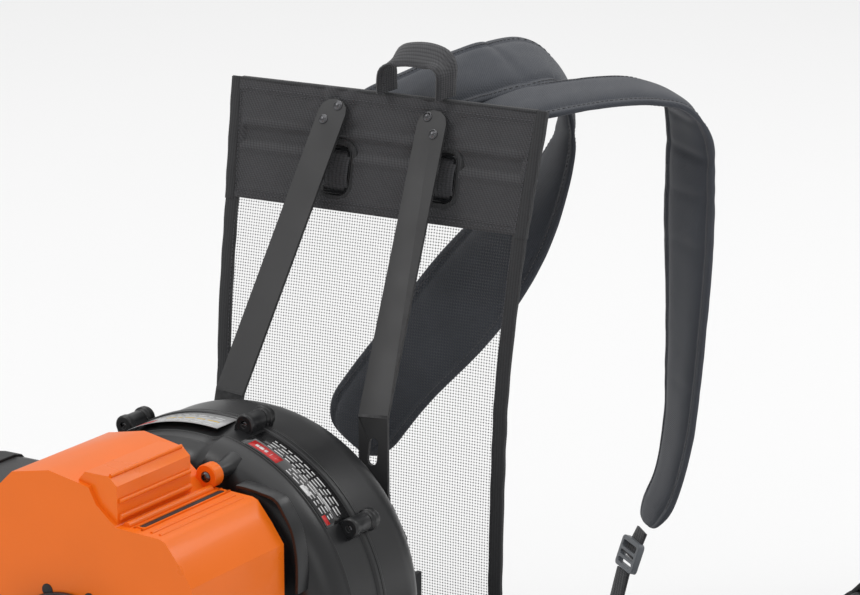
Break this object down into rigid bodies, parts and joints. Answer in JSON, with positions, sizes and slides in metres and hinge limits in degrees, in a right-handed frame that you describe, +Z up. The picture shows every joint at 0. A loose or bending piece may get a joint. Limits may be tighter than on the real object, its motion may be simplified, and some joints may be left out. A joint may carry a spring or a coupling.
{
  "type": "backpack leaf blower",
  "caption": "Two-stroke backpack blower: round fan housing, orange engine cover, mesh back panel on two flat stays, padded shoulder straps, bellows hose and blower tube.",
  "frame": {"origin": "on the floor under the middle of the base tray, between its left and right edges", "axes": "+X towards the wearer's right, +Y towards the wearer's side, -Y the engine and starter side, +Z up"},
  "size_m": [0.7261, 1.0781, 0.6175],
  "materials": {
    "black_plastic": "satin moulded",
    "volute_plastic": "fine texture, satin",
    "orange_plastic": "gloss",
    "grey_plastic": "satin",
    "tank_plastic": "translucent milky",
    "red_plastic": "gloss",
    "rubber": "matte",
    "black_steel": "satin powder coat",
    "steel": "plain",
    "aluminium": "as cast",
    "strap_fabric": "woven",
    "mesh_fabric": "open coated mesh",
    "foam": "open-cell foam",
    "ceramic": "glazed",
    "rope": "braided"
  },
  "bodies": {
    "root": {"base_frame": "black_plastic", "back_frame": "black_plastic", "lower_hoop": "black_steel", "stay_left": "black_steel", "stay_right": "black_steel", "mesh_panel": "mesh_fabric", "top_band": "strap_fabric", "grab_loop": "strap_fabric", "shoulder_strap_left": "strap_fabric", "shoulder_strap_right": "strap_fabric", "strap_webbing_left": "strap_fabric", "strap_webbing_right": "strap_fabric", "ladder_lock_left": "grey_plastic", "ladder_lock_right": "grey_plastic", "triglide_left": "black_plastic", "triglide_right": "black_plastic", "volute_front": "volute_plastic", "volute_rear": "volute_plastic", "intake_grille": "black_plastic", "isolator_left": "rubber", "isolator_right": "rubber", "elbow": "black_plastic", "bellows_rear": "rubber", "hose_clamp_rear": "steel", "throttle_cable_rear": "rubber", "crankcase": "aluminium", "cylinder": "aluminium", "piston": "aluminium", "connecting_rod": "steel", "bearing_front": "steel", "bearing_rear": "steel", "ignition_coil": "black_plastic", "spark_plug": "ceramic", "muffler": "steel", "carburetor": "aluminium", "filter_housing": "black_plastic", "filter_element": "foam", "fuel_tank": "tank_plastic", "engine_cover": "orange_plastic", "starter_housing": "black_plastic", "starter_rope": "rope"},
    "rotor": {"impeller": "grey_plastic", "crankshaft": "steel", "flywheel": "aluminium"},
    "starter_grip": {"starter_grip": "black_plastic"},
    "pulley": {"starter_pulley": "black_plastic"},
    "hose_mid": {"bellows_front": "rubber", "throttle_cable_front": "rubber"},
    "tube": {"blower_tube": "black_plastic", "handle_grip": "black_plastic"},
    "nozzle": {"nozzle": "black_plastic"},
    "trigger": {"throttle_trigger": "orange_plastic"},
    "cruise": {"cruise_lever": "black_plastic"},
    "stop": {"stop_switch": "red_plastic"},
    "throttle": {"throttle_arm": "steel"},
    "choke": {"choke_lever": "orange_plastic"},
    "primer": {"primer_bulb": "tank_plastic"},
    "fuel_cap": {"fuel_cap": "black_plastic"},
    "filter_cover": {"filter_cover": "black_plastic"},
    "filter_knob": {"filter_knob": "grey_plastic"}
  },
  "joints": [
    {"name": "rotor_spin", "type": "hinge", "parent": "root", "child": "rotor", "pos_m": [-0.008, -0.1, 0.192], "axis": [0, 1, 0], "continuous": true},
    {"name": "starter_pull", "type": "slide", "parent": "root", "child": "starter_grip", "axis": [0.9397, 0, 0.342], "range_m": [0, 0.7], "stiffness_N_per_m": 10, "springref_m": -0.3, "deforming": ["starter_rope"]},
    {"name": "pulley_turn", "type": "hinge", "parent": "root", "child": "pulley", "pos_m": [-0.008, -0.208, 0.192], "axis": [0, 1, 0], "range_deg": [-1500, 0]},
    {"name": "hose_yaw", "type": "hinge", "parent": "root", "child": "hose_mid", "pos_m": [0.24444, 0.119, 0.06719], "axis": [0, 0, 1], "range_deg": [-35, 10], "deforming": ["bellows_rear", "throttle_cable_rear"]},
    {"name": "hose_pitch", "type": "hinge", "parent": "hose_mid", "child": "tube", "pos_m": [0.28715, 0.23634, 0.06152], "axis": [0.9397, -0.342, 0], "range_deg": [-10, 45], "deforming": ["bellows_front", "throttle_cable_front"]},
    {"name": "nozzle_slide", "type": "slide", "parent": "tube", "child": "nozzle", "axis": [0.3417, 0.9387, -0.0454], "range_m": [0, 0.1]},
    {"name": "trigger_pull", "type": "hinge", "parent": "tube", "child": "trigger", "pos_m": [0.42647, 0.32967, 0.15447], "axis": [-0.6535, 0.272, 0.7064], "range_deg": [0, 22], "stiffness_Nm_per_rad": 0.3, "springref_deg": -11.46},
    {"name": "cruise_turn", "type": "hinge", "parent": "tube", "child": "cruise", "pos_m": [0.42776, 0.31253, 0.16226], "axis": [-0.6535, 0.272, 0.7064], "range_deg": [0, 60]},
    {"name": "stop_rock", "type": "hinge", "parent": "tube", "child": "stop", "pos_m": [0.43788, 0.30727, 0.17365], "axis": [0.6535, -0.272, -0.7064], "range_deg": [-10, 10]},
    {"name": "throttle_arm_turn", "type": "hinge", "parent": "root", "child": "throttle", "pos_m": [-0.076, -0.108, 0.29], "axis": [0, 0, -1], "range_deg": [0, 72]},
    {"name": "choke_turn", "type": "hinge", "parent": "root", "child": "choke", "pos_m": [-0.118, -0.169, 0.236], "axis": [0, 1, 0], "range_deg": [0, 55]},
    {"name": "primer_press", "type": "slide", "parent": "root", "child": "primer", "axis": [0, 1, 0], "range_m": [0, 0.004], "stiffness_N_per_m": 800},
    {"name": "fuel_cap_lift", "type": "slide", "parent": "root", "child": "fuel_cap", "axis": [0, 0, 1], "range_m": [0, 0.05]},
    {"name": "filter_cover_lift", "type": "slide", "parent": "root", "child": "filter_cover", "axis": [-1, 0, 0], "range_m": [0, 0.05]},
    {"name": "filter_knob_turn", "type": "hinge", "parent": "filter_cover", "child": "filter_knob", "pos_m": [-0.19, -0.117, 0.255], "axis": [1, 0, 0], "continuous": true}
  ],
  "couplings": [
    {"joint": "pulley_turn", "follows": "starter_pull", "rad_per_m": -37.037},
    {"joint": "throttle_arm_turn", "follows": "trigger_pull", "ratio": 3.25}
  ]
}
